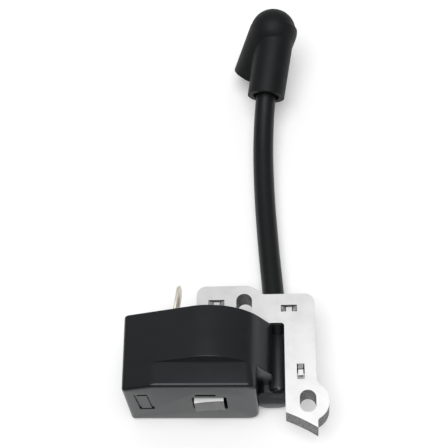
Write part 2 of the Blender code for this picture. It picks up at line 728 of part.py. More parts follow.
def build_plug_cap(rubber, steel):
    """An elbow: a sleeve over the lead, a domed head, and a wider sleeve for the spark plug."""
    sleeve = cylinder(CAP_MOUTH, CAP_HEAD, CAP_LEAD_RADIUS)
    cap = make_object("plug_cap", sleeve, rubber, CAP_MOUTH)
    plug_direction = (CAP_HEAD - CAP_RIM).normalized()
    plug_length = (CAP_HEAD - CAP_RIM).length
    dome = [radians(a) for a in range(0, 90, 10)]
    head = [(0.0, CAP_PLUG_RADIUS)]
    head += [(plug_length + CAP_HEAD_RADIUS * sin(a), CAP_HEAD_RADIUS * cos(a)) for a in dome]
    combine(cap, make_object("cap_head", turned(head, CAP_RIM, plug_direction)), "UNION")
    plug_bore = cylinder(CAP_RIM - plug_direction, CAP_HEAD, CAP_PLUG_BORE)
    combine(cap, make_object("cap_plug_bore", plug_bore))
    lead_bore = cylinder(CAP_MOUTH - CAP_LEAD_DIRECTION, CAP_HEAD - 2 * CAP_LEAD_DIRECTION, TOWER_BORE)
    combine(cap, make_object("cap_lead_bore", lead_bore))

    build_clip(plug_direction, steel)


def build_clip(plug_direction, steel):
    """The wire spring in the plug sleeve that grips the spark plug's end."""
    steps_per_turn = 12
    steps = CLIP_TURNS * steps_per_turn
    side = plug_direction.orthogonal().normalized()
    other = plug_direction.cross(side)
    path = []
    for i in range(steps + 1):
        angle = 2 * pi * i / steps_per_turn
        along = CLIP_FROM_RIM + CLIP_LENGTH * i / steps
        around = CLIP_RADIUS * (cos(angle) * side + sin(angle) * other)
        path.append(CAP_RIM + along * plug_direction + around)
    curve = bpy.data.curves.new("plug_spring_clip", "CURVE")
    curve.dimensions = "3D"
    curve.bevel_depth = CLIP_WIRE_RADIUS * MM
    curve.bevel_resolution = 0
    curve.use_fill_caps = True
    spline = curve.splines.new("POLY")
    spline.points.add(len(path) - 1)
    for point, place in zip(spline.points, path):
        point.co = (*((place - CAP_MOUTH) * MM), 1.0)
    curve.materials.append(steel)
    clip = bpy.data.objects.new("plug_spring_clip", curve)
    clip.location = CAP_MOUTH * MM
    bpy.context.collection.objects.link(clip)


# ---------------------------------------------------------------- the whole coil


def build():
    clear_scene()
    steel = material("electrical_steel", (0.62, 0.62, 0.61), 0.38, 1.0)
    case_plastic = material("case_plastic", (0.022, 0.022, 0.024), 0.34)
    resin = material("potting_resin", (0.012, 0.011, 0.010), 0.22)
    bobbin_plastic = material("bobbin_plastic", (0.55, 0.50, 0.40), 0.5)
    copper_wire = material("enamelled_copper", (0.55, 0.16, 0.05), 0.3, 1.0)
    fine_copper = material("fine_copper", (0.62, 0.24, 0.09), 0.35, 1.0)
    tin = material("tinned_brass", (0.72, 0.68, 0.58), 0.3, 1.0)
    rubber = material("lead_rubber", (0.016, 0.016, 0.017), 0.45)
    cap_rubber = material("cap_rubber", (0.014, 0.014, 0.015), 0.6)
    board_finish = material("board_laminate", (0.20, 0.26, 0.07), 0.55)
    black = material("component_epoxy", (0.02, 0.02, 0.02), 0.5)
    film = material("capacitor_coating", (0.45, 0.10, 0.03), 0.4)
    glass = material("diode_glass", (0.35, 0.10, 0.04), 0.15)
    tan_lacquer = material("resistor_lacquer", (0.50, 0.38, 0.22), 0.45)
    spring_steel = material("spring_steel", (0.55, 0.55, 0.56), 0.3, 1.0)

    build_core(steel)
    build_case(case_plastic)
    build_resin(resin)
    build_windings(bobbin_plastic, copper_wire, fine_copper)
    build_circuit(board_finish, black, film, glass, tan_lacquer, tin)
    build_stop_terminal(tin)
    build_spike(tin, copper_wire)
    build_lead(rubber, copper_wire)
    build_plug_cap(cap_rubber, spring_steel)


build()
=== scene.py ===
"""Looks of the ignition coil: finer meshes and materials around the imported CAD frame.

Lengths are in millimetres, in the CAD's own frame; make_piece turns them into metres. The origin is
under the corner of the core, +Z runs up through the sheets and +Y points away from the flywheel.
"""

import json
from math import asin, atan2, cos, degrees, exp, hypot, pi, radians, sin, sqrt, tan

import bmesh
import bpy
from mathutils import Matrix, Vector, noise


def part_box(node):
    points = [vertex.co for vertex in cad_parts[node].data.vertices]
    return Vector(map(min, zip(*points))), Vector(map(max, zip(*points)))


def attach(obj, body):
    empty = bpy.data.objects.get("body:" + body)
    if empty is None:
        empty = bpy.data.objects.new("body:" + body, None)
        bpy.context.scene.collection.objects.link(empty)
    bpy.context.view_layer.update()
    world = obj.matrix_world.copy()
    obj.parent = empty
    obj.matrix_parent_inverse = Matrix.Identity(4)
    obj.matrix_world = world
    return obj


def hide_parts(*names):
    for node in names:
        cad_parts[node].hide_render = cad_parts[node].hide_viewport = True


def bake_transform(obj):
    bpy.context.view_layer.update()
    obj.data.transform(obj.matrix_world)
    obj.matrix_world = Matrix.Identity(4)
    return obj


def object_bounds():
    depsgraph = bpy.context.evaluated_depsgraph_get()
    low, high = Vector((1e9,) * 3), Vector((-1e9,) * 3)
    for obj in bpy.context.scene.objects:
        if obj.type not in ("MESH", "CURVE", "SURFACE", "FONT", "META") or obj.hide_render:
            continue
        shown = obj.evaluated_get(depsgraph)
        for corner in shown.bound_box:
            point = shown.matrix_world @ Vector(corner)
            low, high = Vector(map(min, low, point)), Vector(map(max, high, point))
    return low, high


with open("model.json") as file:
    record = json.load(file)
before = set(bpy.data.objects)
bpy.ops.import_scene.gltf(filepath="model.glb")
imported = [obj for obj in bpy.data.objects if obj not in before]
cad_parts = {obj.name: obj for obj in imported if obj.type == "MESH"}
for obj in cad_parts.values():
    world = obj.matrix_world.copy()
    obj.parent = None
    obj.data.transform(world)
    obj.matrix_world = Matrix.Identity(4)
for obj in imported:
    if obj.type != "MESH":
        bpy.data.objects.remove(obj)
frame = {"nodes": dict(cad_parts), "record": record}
cad_low, cad_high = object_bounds()

MM = 0.001


def box_mm(node):
    low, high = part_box(node)
    return Vector(low) / MM, Vector(high) / MM


JOINTS = {joint["name"]: joint for joint in frame["record"]["behaviour"]["joints"]}
MOUNTS = {mount["name"]: mount for mount in frame["record"]["mounts"]}

# Core, placed by the lowest sheet's box and the stack's top
SHEETS = 11
SHEET_LOW, SHEET_HIGH = box_mm("lamination_01")
STACK_TOP = box_mm(f"lamination_{SHEETS:02d}")[1].z
SHEET_THICKNESS = 0.65
SHEET_PITCH = (STACK_TOP - SHEET_THICKNESS) / (SHEETS - 1)
SHEET_EDGE = 0.05
LEG_WIDTH = 9.6
# The coil's leg is a little narrower, which leaves the gap that shows in the case's window
CORE_LEG_WIDTH = 8.95
YOKE_DEPTH = 10.06
CORNER_RADIUS = 3.0
INNER_RADIUS = 1.0
FLYWHEEL_CENTRE = (-24.3, -83.5)
FLYWHEEL_RADIUS = 52.7
SLOT_WIDTH = 4.9
SLOT_LENGTH = 7.06
LUG_RADIUS = 6.45
YOKE_SLOT = (-17.3, SHEET_HIGH.y - LUG_RADIUS)
LEG_SLOT = (SHEET_HIGH.x - LUG_RADIUS, -31.05)
YOKE_LUG_FILLET = 2.0
LEG_LUG_FILLET = 3.0
TIP_FILLET = 1.2
# Stamped tabs: the size of a tab's hole, the depth of its floor, and each one's centre and angle
TAB_LENGTH = 5.0
TAB_WIDTH = 2.3
TAB_DEPTH = 0.95
TABS = (((-26.1, 2.2), 0.0), ((-3.2, 0.0), 0.0), ((0.0, -21.45), 90.0))

# Coil case: a low nose in front of the step, and a round roof behind it
COIL_X = SHEET_LOW.x + LEG_WIDTH / 2
COIL_Z = STACK_TOP / 2
CASE_LOW, CASE_HIGH = box_mm("coil_case")
ROOF_RADIUS = 17.85
FLANK_ANGLE = 32.4
CASE_STEP = CASE_LOW.y + 7.8
CASE_RIGHT = COIL_X + 14.4
CASE_REAR_RIGHT = COIL_X + 18.8
CASE_EAVE = CASE_LOW.z + 24.2
CASE_SHELF = CASE_LOW.z + 27.15
# Per millimetre: how far each side spreads towards the back, and how far the right comes forward
CASE_DRAFT = 0.017
CASE_SKEW = 0.014
FRONT_ROUND = 1.1
LIP_ROUND = 0.25
BACK_ROUND = 0.6
# A supporting ring lies this far behind a rounded edge and keeps its shading tight
HOLD = 0.2
WALL = 1.8

# Stop terminal: how far it leans to the right, and rolls about its own length, in degrees
BLADE_THICKNESS = 0.8
BLADE_LEAN = 7.0
BLADE_ROLL = 2.0

# High-tension tower: a tube with a domed front end, and the boss below that end
TOWER_RADIUS = 4.9
TOWER_BORE = 3.8
TOWER_BORE_DEPTH = 13.0
BOSS_RADIUS = 5.25
SPIKE_LOW, SPIKE_HIGH = box_mm("lead_spike")
TOWER_X = (SPIKE_LOW.x + SPIKE_HIGH.x) / 2
TOWER_Z = (SPIKE_LOW.z + SPIKE_HIGH.z) / 2
BOSS_X = TOWER_X - 1.5
BOSS_Z = TOWER_Z + 0.9
BOSS_FRONT = CASE_LOW.y + 2.9
TOWER_FRONT = CASE_LOW.y + 4.0
TOWER_DOME = 2.6

# Lead and plug cap, from the joints that the lead bends and turns about
LEAD_RADIUS = 3.55
LEAD_STEPS = 24
LEAD_POINTS = [Vector((TOWER_X, CASE_HIGH.y, TOWER_Z))]
LEAD_POINTS += [
    Vector(JOINTS[name]["pos_m"]) / MM
    for name in ("lead_sway", "lead_lift", "lead_sway_far", "lead_lift_far", "cap_swivel")
]
CAP_MOUTH = LEAD_POINTS[-1]
CAP_DIRECTION = Vector(JOINTS["cap_swivel"]["axis"]).normalized()
CAP_SLEEVE = 24.87
CAP_HEAD = CAP_MOUTH + CAP_SLEEVE * CAP_DIRECTION
CAP_SLEEVE_RADIUS = 6.6
CAP_HEAD_RADIUS = 8.25
CAP_PLUG_RADIUS = 8.6
CAP_PLUG_BORE = 6.0
CAP_LEDGE = 1.5
# The plug's sleeve sits a little low on the dome, and the lead's sleeve leans as it nears the head
CAP_SUNK = 0.4
CAP_LEAN = Vector((1.0, 0.0, 0.0))
PLUG_DIRECTION = Vector(MOUNTS["plug_cap_rim"]["axis"]).normalized()
CAP_PLUG_LENGTH = (Vector(MOUNTS["plug_cap_rim"]["pos_m"]) / MM - CAP_HEAD).dot(PLUG_DIRECTION)
PLUG_SIDE = (Vector((0, 0, 1)) - PLUG_DIRECTION.z * PLUG_DIRECTION).normalized()

# The body that everything but the lead and the cap rides on
ROOT = "coil"
DOWN_Y = Vector((0, -1, 0))


# ---------------------------------------------------------------- node-tree helpers


class Tree:
    """A material's node tree with short calls for the nodes used below."""

    def __init__(self, name):
        self.material = bpy.data.materials.new(name)
        self.material.use_nodes = True
        self.nodes = self.material.node_tree.nodes
        self.links = self.material.node_tree.links
        self.shader = self.nodes["Principled BSDF"]
        self.place = self.nodes.new("ShaderNodeTexCoord").outputs["Object"]

    def set(self, **values):
        """Fixed values of the shader's inputs, with _ for a space in an input's name."""
        for key, value in values.items():
            self.shader.inputs[key.replace("_", " ")].default_value = value
        return self

    def stretch(self, scale):
        """Object coordinates scaled per axis, so that a pattern can run along one direction."""
        mapping = self.nodes.new("ShaderNodeMapping")
        mapping.inputs["Scale"].default_value = scale
        self.links.new(self.place, mapping.inputs["Vector"])
        return mapping.outputs["Vector"]

    def noise(self, scale, detail=4.0, roughness=0.55, vector=None):
        """Noise whose features are about 1/scale metres across."""
        node = self.nodes.new("ShaderNodeTexNoise")
        node.inputs["Scale"].default_value = scale
        node.inputs["Detail"].default_value = detail
        node.inputs["Roughness"].default_value = roughness
        self.links.new(vector or self.place, node.inputs["Vector"])
        return node.outputs["Fac"]

    def ramp(self, factor, stops):
        """A colour picked by a factor from (position, colour) stops."""
        node = self.nodes.new("ShaderNodeValToRGB")
        elements = node.color_ramp.elements
        while len(elements) < len(stops):
            elements.new(0.5)
        for element, (position, colour) in zip(elements, stops):
            element.position = position
            element.color = (*colour, 1.0)
        self.links.new(factor, node.inputs["Fac"])
        return node.outputs["Color"]

    def span(self, factor, low, high, start=0.3, end=0.7):
        """Map a factor's useful stretch on to a range of values."""
        node = self.nodes.new("ShaderNodeMapRange")
        node.inputs["From Min"].default_value = start
        node.inputs["From Max"].default_value = end
        node.inputs["To Min"].default_value = low
        node.inputs["To Max"].default_value = high
        self.links.new(factor, node.inputs["Value"])
        return node.outputs["Result"]

    def bump(self, height, strength, depth, below=None):
        """A normal that follows a height; `below` is the bump it lies on."""
        node = self.nodes.new("ShaderNodeBump")
        node.inputs["Strength"].default_value = strength
        node.inputs["Distance"].default_value = depth
        self.links.new(height, node.inputs["Height"])
        if below:
            self.links.new(below, node.inputs["Normal"])
        return node.outputs["Normal"]

    def along(self, direction, start, end, low, high):
        """A value from low to high between two distances, in metres, along a direction."""
        node = self.nodes.new("ShaderNodeVectorMath")
        node.operation = "DOT_PRODUCT"
        node.inputs[1].default_value = direction
        self.links.new(self.place, node.inputs[0])
        return self.span(node.outputs["Value"], low, high, start, end)

    def shade(self, colour, factor):
        """A colour multiplied by a value."""
        node = self.nodes.new("ShaderNodeVectorMath")
        node.operation = "SCALE"
        self.links.new(colour, node.inputs[0])
        self.links.new(factor, node.inputs["Scale"])
        return node.outputs[0]

    def feed(self, socket, name):
        self.links.new(socket, self.shader.inputs[name])

    def colour(self, factor, *stops):
        self.feed(self.ramp(factor, stops), "Base Color")

    def roughen(self, factor, low, high):
        self.feed(self.span(factor, low, high), "Roughness")

    def relief(self, height, strength, depth, below=None):
        self.feed(self.bump(height, strength, depth, below), "Normal")


def grey(value, warmth=0.0):
    """A grey, or with a warmth one that leans to red (above 0) or to blue (below 0)."""
    return (value * (1 + warmth), value, value * (1 - warmth))


# ---------------------------------------------------------------- materials

# The black plastics and rubbers reflect a little cooler than they are lit
COOL = (0.88, 0.95, 1.0, 1.0)


def sheet_face():
    """The flat of a stamped sheet: light, rolled and slightly mottled, with painted shade that
    darkens it towards the back left.
    """
    tree = Tree("sheet_face").set(Metallic=0.4, IOR=1.6)
    mottle = tree.noise(180.0, detail=5.0, roughness=0.6)
    grain = tree.noise(900.0, detail=3.0, roughness=0.6, vector=tree.stretch((0.25, 1.6, 1.0)))
    tone = tree.ramp(mottle, ((0.30, grey(0.90)), (0.52, grey(0.96)), (0.75, grey(1.0))))
    # Painted shade: the colour falls to about three quarters of full towards the yoke at the back
    # left, standing in for the light falling off there
    painted_falloff = tree.along((0.65, -0.76, 0.0), start=-0.022, end=0.025, low=0.74, high=1.0)
    tree.feed(tree.shade(tone, painted_falloff), "Base Color")
    tree.roughen(mottle, 0.42, 0.56)
    fine = tree.bump(grain, strength=0.12, depth=0.00006)
    tree.relief(mottle, strength=0.15, depth=0.0002, below=fine)
    return tree.material


def sheet_edge():
    """The sheared edge of a sheet: dark, and torn in short upright streaks."""
    tree = Tree("sheet_edge").set(Metallic=0.8)
    torn = tree.noise(1500.0, roughness=0.7, vector=tree.stretch((1.0, 1.0, 0.3)))
    tree.colour(tree.noise(260.0, detail=3.0), (0.30, grey(0.034)), (0.70, grey(0.066)))
    tree.roughen(torn, 0.32, 0.5)
    tree.relief(torn, strength=0.35, depth=0.00008)
    return tree.material


def moulded_black(name, tone, roughness, ior):
    """Moulded black plastic: spark-eroded texture, shallow sinks and a faint change of tone."""
    tree = Tree(name).set(IOR=ior, Specular_Tint=COOL)
    cloud = tree.noise(55.0, detail=3.0)
    coolness = -0.06
    tree.colour(cloud, (0.3, grey(tone * 0.85, coolness)), (0.7, grey(tone * 1.2, coolness)))
    tree.roughen(cloud, roughness - 0.05, roughness + 0.05)
    sparks = tree.bump(tree.noise(2600.0, detail=2.0, roughness=0.5), strength=0.12, depth=0.00005)
    tree.relief(tree.noise(32.0, detail=1.0), strength=0.10, depth=0.0006, below=sparks)
    return tree.material


def lead_insulation():
    """Extruded insulation: smooth, with faint lines drawn along its length and a little dust."""
    tree = Tree("lead_insulation").set(IOR=1.345, Specular_Tint=COOL)
    lines = tree.noise(700.0, detail=3.0, roughness=0.6, vector=tree.stretch((1.0, 0.03, 1.0)))
    dust = tree.noise(420.0, detail=6.0, roughness=0.75)
    tree.colour(dust, (0.35, grey(0.005)), (0.62, grey(0.007)), (0.80, grey(0.02)))
    tree.roughen(lines, 0.36, 0.48)
    tree.relief(lines, strength=0.22, depth=0.0001)
    return tree.material


def cap_rubber():
    """Press-moulded rubber: matt, softly pitted, with pale mould dust."""
    tree = Tree("cap_rubber").set(IOR=1.32, Specular_Tint=COOL)
    dust = tree.noise(260.0, detail=6.0, roughness=0.8)
    tree.colour(dust, (0.35, grey(0.005)), (0.60, grey(0.007)), (0.82, grey(0.025)))
    tree.roughen(dust, 0.48, 0.62)
    pits = tree.bump(tree.noise(1500.0, detail=3.0, roughness=0.6), strength=0.25, depth=0.00007)
    tree.relief(tree.noise(120.0, detail=2.0), strength=0.12, depth=0.0004, below=pits)
    return tree.material


def cast_resin():
    """Potting resin: glossy and near black, with a soft orange-peel surface."""
    tree = Tree("cast_resin").set(IOR=1.56)
    peel = tree.noise(150.0, detail=2.0)
    tree.colour(peel, (0.3, (0.010, 0.009, 0.008)), (0.7, (0.016, 0.014, 0.012)))
    tree.roughen(tree.noise(500.0), 0.10, 0.22)
    tree.relief(peel, strength=0.25, depth=0.0004)
    return tree.material


def tinned_metal():
    """Tinned brass: warm, bright and cloudy."""
    tree = Tree("tinned_metal").set(Metallic=0.85)
    cloud = tree.noise(420.0)
    tree.colour(cloud, (0.3, (0.66, 0.60, 0.50)), (0.7, (0.86, 0.82, 0.72)))
    tree.roughen(cloud, 0.28, 0.45)
    tree.relief(tree.noise(1200.0), strength=0.2, depth=0.00005)
    return tree.material


def wound_wire(name, colour, pitch):
    """Close turns of enamelled wire, `pitch` mm apart, as a wave along the winding, with painted
    shade between the turns.
    """
    tree = Tree(name).set(Metallic=1.0)
    wave = tree.nodes.new("ShaderNodeTexWave")
    wave.bands_direction = "Y"
    wave.inputs["Scale"].default_value = 0.32 / (pitch * MM)
    wave.inputs["Distortion"].default_value = 0.3
    tree.links.new(tree.place, wave.inputs["Vector"])
    turns = wave.outputs["Fac"]
    # Painted shade: the wave's troughs, between the turns, are darkened to about a third of the
    # wire's colour
    dark = tuple(c * 0.35 for c in colour)
    tree.colour(turns, (0.1, dark), (0.6, colour))
    tree.roughen(tree.noise(300.0), 0.25, 0.4)
    tree.relief(turns, strength=0.6, depth=0.0002)
    return tree.material


def plain_finish(name, low, high, roughness, metallic=0.0, scale=300.0):
    """A two-tone finish with a fine grain, for small parts."""
    tree = Tree(name).set(Metallic=metallic)
    cloud = tree.noise(scale)
    tree.colour(cloud, (0.3, low), (0.7, high))
    tree.roughen(cloud, roughness - 0.06, roughness + 0.06)
    tree.relief(tree.noise(scale * 4), strength=0.15, depth=0.00005)
    return tree.material


def dress_cad_nodes():
    """Give every CAD node that stays a procedural finish, by its slot in the record."""
    finishes = {
        "electrical_steel": FACE,
        "case_plastic": CASE,
        "potting_resin": RESIN,
        "enamelled_copper": wound_wire("enamelled_copper", (0.62, 0.20, 0.07), pitch=0.5),
        "fine_copper": wound_wire("fine_copper", (0.66, 0.27, 0.11), pitch=0.12),
        "tinned_brass": TIN,
        "lead_rubber": LEAD,
        "cap_rubber": RUBBER,
    }
    # Darker tone, lighter tone, roughness, metallic
    plain = {
        "bobbin_plastic": ((0.46, 0.42, 0.33), (0.58, 0.53, 0.43), 0.5, 0.0),
        "board_laminate": ((0.15, 0.20, 0.05), (0.24, 0.30, 0.09), 0.55, 0.0),
        "component_epoxy": (grey(0.015), grey(0.028), 0.5, 0.0),
        "capacitor_coating": ((0.38, 0.08, 0.02), (0.50, 0.12, 0.04), 0.3, 0.0),
        "diode_glass": ((0.28, 0.08, 0.03), (0.40, 0.13, 0.05), 0.15, 0.0),
        "resistor_lacquer": ((0.44, 0.33, 0.19), (0.56, 0.43, 0.26), 0.4, 0.0),
        "spring_steel": (grey(0.45), grey(0.62), 0.3, 1.0),
    }
    finishes.update({name: plain_finish(name, *values) for name, values in plain.items()})
    slots = {part["node"]: part["material_slot"] for part in frame["record"]["subparts"]}
    for node, piece in frame["nodes"].items():
        for material_slot in piece.material_slots:
            material_slot.material = finishes[slots[node]]


# ---------------------------------------------------------------- mesh helpers

SMALLEST_ROUNDING = 0.03
MERGE_DISTANCE = 0.0005


def make_piece(name, bm, finishes, smooth=30.0, flat_tops=False):
    """A mesh piece in metres from a bmesh in millimetres.

    Edges sharper than `smooth` degrees stay sharp, and flat_tops shades level faces flat.
    """
    bmesh.ops.recalc_face_normals(bm, faces=bm.faces)
    bmesh.ops.scale(bm, verts=bm.verts, vec=(MM, MM, MM))
    mesh = bpy.data.meshes.new(name)
    level = [abs(face.normal.z) > 0.999 for face in bm.faces] if flat_tops else []
    bm.to_mesh(mesh)
    bm.free()
    mesh.shade_smooth()
    mesh.set_sharp_from_angle(angle=radians(smooth))
    for polygon, is_level in zip(mesh.polygons, level):
        polygon.use_smooth = not is_level
    for finish in finishes:
        mesh.materials.append(finish)
    piece = bpy.data.objects.new(name, mesh)
    bpy.context.collection.objects.link(piece)
    return piece


def apply_modifiers(piece, smooth=30.0):
    """Replace the piece's mesh by what its modifiers make of it."""
    bpy.context.view_layer.update()
    graph = bpy.context.evaluated_depsgraph_get()
    mesh = bpy.data.meshes.new_from_object(piece.evaluated_get(graph))
    piece.modifiers.clear()
    piece.data = mesh
    mesh.shade_smooth()
    mesh.set_sharp_from_angle(angle=radians(smooth))


def cut(piece, tool_mesh, operation="DIFFERENCE"):
    """Boolean a bmesh tool, in millimetres, into the piece at once."""
    tool = make_piece("tool", tool_mesh, [])
    modifier = piece.modifiers.new("cut", "BOOLEAN")
    modifier.operation = operation
    modifier.object = tool
    apply_modifiers(piece)
    bpy.data.objects.remove(tool, do_unlink=True)


def finish_with(piece, *finishes):
    """Make these the piece's only materials; the cuts have left copies of them."""
    piece.data.materials.clear()
    for finish in finishes:
        piece.data.materials.append(finish)


def stand_for(piece, node, body=ROOT):
    """Let a piece take a CAD node's place and ride on its body."""
    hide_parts(node)
    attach(piece, body)


def bridge(bm, rings):
    """Quads between rings of equal length, with flat ends."""
    for near, far in zip(rings, rings[1:]):
        for i in range(len(near)):
            j = (i + 1) % len(near)
            bm.faces.new((near[i], near[j], far[j], far[i]))
    bm.faces.new(list(reversed(rings[0])))
    bm.faces.new(rings[-1])
    return bm


def quarter(steps):
    """The angles of a quarter turn, from 0 to 90 degrees."""
    return [radians(90.0 * i / steps) for i in range(steps + 1)]


def arc(centre, radius, start, end, steps):
    """Points round a centre from one angle to another, in degrees."""
    turns = [radians(start + (end - start) * i / steps) for i in range(steps + 1)]
    return [(centre[0] + radius * cos(a), centre[1] + radius * sin(a)) for a in turns]


def rectangle(left, right, low, high, radius, steps):
    """The corners of an upright rectangle, all rounded alike, for rounded_loop."""
    corners = ((left, low), (right, low), (right, high), (left, high))
    return [(x, z, radius, steps) for x, z in corners]


def rounded_loop(corners, inset=0.0):
    """A loop through (x, y, radius, steps) corners, anticlockwise, moved inwards by `inset`."""
    points = []
    count = len(corners)
    for i, (x, y, radius, steps) in enumerate(corners):
        before = Vector(corners[i - 1][:2])
        here = Vector((x, y))
        after = Vector(corners[(i + 1) % count][:2])
        d1 = (here - before).normalized()
        d2 = (after - here).normalized()
        n1 = Vector((-d1.y, d1.x))
        n2 = Vector((-d2.y, d2.x))
        turn = atan2(d1.x * d2.y - d1.y * d2.x, d1.dot(d2))
        side = 1.0 if turn > 0 else -1.0
        bisector = (n1 + n2) / (1.0 + n1.dot(n2))
        rounding = max(radius - side * inset, SMALLEST_ROUNDING)
        centre = here + (inset + side * rounding) * bisector
        start = atan2(-side * n1.y, -side * n1.x)
        for k in range(steps + 1):
            angle = start + turn * k / steps
            points.append((centre.x + rounding * cos(angle), centre.y + rounding * sin(angle)))
    return points


def loft_xz(stations):
    """Loft XZ loops along Y: each station is (y, loop)."""
    bm = bmesh.new()
    rings = [[bm.verts.new((x, y, z)) for x, z in loop] for y, loop in stations]
    return bridge(bm, rings)


def block_xz(corners, front, back, rounding=0.0):
    """A prism along Y, its two ends rounded over if a rounding is given."""
    if rounding == 0.0:
        loop = rounded_loop(corners)
        return loft_xz([(front, loop), (back, loop)])
    end = []
    for turn in quarter(4):
        inset = rounding * (1 - cos(turn))
        end.append((rounding * (1 - sin(turn)), rounded_loop(corners, inset)))
    near = [(front + depth, loop) for depth, loop in reversed(end)]
    return loft_xz(near + [(back - depth, loop) for depth, loop in end])


def turned(profile, base, direction, steps=96):
    """A round body through rings at (distance along `direction`, radius)."""
    side = direction.orthogonal().normalized()
    other = direction.cross(side)
    turns = [2 * pi * i / steps for i in range(steps)]
    spokes = [cos(turn) * side + sin(turn) * other for turn in turns]
    bm = bmesh.new()
    rings = []
    for distance, radius in profile:
        centre = base + distance * direction
        rings.append([bm.verts.new(centre + radius * spoke) for spoke in spokes])
    return bridge(bm, rings)


def ball(radius, first, last, step):
    """The profile of a ball for `turned`, at angles in degrees from its pole on the near side."""
    return [(radius * -cos(radians(a)), radius * sin(radians(a))) for a in range(first, last, step)]


def shave(bm, point, normal):
    """Take away what lies beyond a plane, and close the cut."""
    bmesh.ops.recalc_face_normals(bm, faces=bm.faces)
    result = bmesh.ops.bisect_plane(
        bm,
        geom=bm.verts[:] + bm.edges[:] + bm.faces[:],
        plane_co=point,
        plane_no=normal,
        clear_outer=True,
    )
    border = [part for part in result["geom_cut"] if isinstance(part, bmesh.types.BMEdge)]
    bmesh.ops.contextual_create(bm, geom=border)
    return bm


def plate(loops, thickness, edge):
    """A flat plate with holes and rounded edges, lying on z = 0, as a mesh in millimetres."""
    curve = bpy.data.curves.new("plate", "CURVE")
    curve.dimensions = "2D"
    curve.fill_mode = "BOTH"
    curve.extrude = thickness / 2 - edge
    curve.bevel_depth = edge
    curve.bevel_resolution = 1
    curve.offset = -edge
    for loop in loops:
        spline = curve.splines.new("POLY")
        spline.points.add(len(loop) - 1)
        for point, (x, y) in zip(spline.points, loop):
            point.co = (x, y, 0.0, 1.0)
        spline.use_cyclic_u = True
    holder = bpy.data.objects.new("plate", curve)
    bpy.context.collection.objects.link(holder)
    bpy.context.view_layer.update()
    graph = bpy.context.evaluated_depsgraph_get()
    mesh = bpy.data.meshes.new_from_object(holder.evaluated_get(graph))
    bpy.data.objects.remove(holder, do_unlink=True)
    bm = bmesh.new()
    bm.from_mesh(mesh)
    bmesh.ops.remove_doubles(bm, verts=bm.verts, dist=MERGE_DISTANCE)
    bmesh.ops.translate(bm, verts=bm.verts, vec=(0, 0, thickness / 2))
    return bm


# ---------------------------------------------------------------- core


def angle_of(centre, point):
    """The direction of a point as seen from a centre, in degrees."""
    return degrees(atan2(point[1] - centre[1], point[0] - centre[0]))


def pole_arc(left, right, steps=16):
    """A leg's hollow end, which follows the flywheel."""
    centre_x, centre_y = FLYWHEEL_CENTRE
    points = []
    for i in range(steps + 1):
        x = left + (right - left) * i / steps
        points.append((x, centre_y + sqrt(FLYWHEEL_RADIUS**2 - (x - centre_x) ** 2)))
    return points


def leg_lug(edge):
    """The lug on the free leg's outer edge, from its lower fillet to its upper one."""
    fillets = []
    for radius, side in ((TIP_FILLET, -1), (LEG_LUG_FILLET, 1)):
        x = edge + radius
        reach = sqrt((LUG_RADIUS + radius) ** 2 - (x - LEG_SLOT[0]) ** 2)
        fillets.append(((x, LEG_SLOT[1] + side * reach), radius))
    (low, low_radius), (high, high_radius) = fillets
    low_angle = angle_of(LEG_SLOT, low)
    high_angle = angle_of(LEG_SLOT, high)
    points = arc(low, low_radius, 180, 180 + low_angle, 6)
    points += arc(LEG_SLOT, LUG_RADIUS, low_angle, high_angle, 40)[1:-1]
    return points + arc(high, high_radius, 180 + high_angle, 180, 10)


def yoke_lug(edge):
    """The back of the yoke, from the free leg's side up on to the lug around the yoke slot."""
    y = edge + YOKE_LUG_FILLET
    reach = sqrt((LUG_RADIUS + YOKE_LUG_FILLET) ** 2 - (y - YOKE_SLOT[1]) ** 2)
    fillet = (YOKE_SLOT[0] + reach, y)
    meet = angle_of(YOKE_SLOT, fillet)
    points = arc(fillet, YOKE_LUG_FILLET, 270, 180 + meet, 8)
    return points + arc(YOKE_SLOT, LUG_RADIUS, meet, 90, 20)[1:]


def sheet_outline():
    """Round an open U: the coil's leg, the inner corners, the free leg with its lug, the yoke."""
    half = LEG_WIDTH / 2
    front = -YOKE_DEPTH / 2
    left = SHEET_LOW.x
    inner = left + CORE_LEG_WIDTH
    outline = pole_arc(left, inner)
    outline += arc((inner + INNER_RADIUS, front - INNER_RADIUS), INNER_RADIUS, 180, 90, 6)
    outline += arc((-half - INNER_RADIUS, front - INNER_RADIUS), INNER_RADIUS, 90, 0, 6)
    outline += pole_arc(-half, half)
    outline += leg_lug(half)
    outline += arc((half - CORNER_RADIUS, -front - CORNER_RADIUS), CORNER_RADIUS, 0, 90, 12)
    outline += yoke_lug(-front)
    outline += arc((left + CORNER_RADIUS, SHEET_HIGH.y - CORNER_RADIUS), CORNER_RADIUS, 90, 180, 12)
    return outline


def slot_loop(centre):
    """A screw slot, long along Y."""
    half = SLOT_WIDTH / 2
    straight = (SLOT_LENGTH - SLOT_WIDTH) / 2
    top = arc((centre[0], centre[1] + straight), half, 0, 180, 24)
    return top + arc((centre[0], centre[1] - straight), half, 180, 360, 24)


def turned_rectangle(centre, angle, length, width):
    """A small rectangle of stamped hole, its corners slightly rounded."""
    signs = ((1, 1), (-1, 1), (-1, -1), (1, -1))
    corners = [(sx * length / 2, sy * width / 2, 0.12, 3) for sx, sy in signs]
    spin = Matrix.Rotation(radians(angle), 2)
    return [tuple(Vector(centre) + spin @ Vector(point)) for point in rounded_loop(corners)]


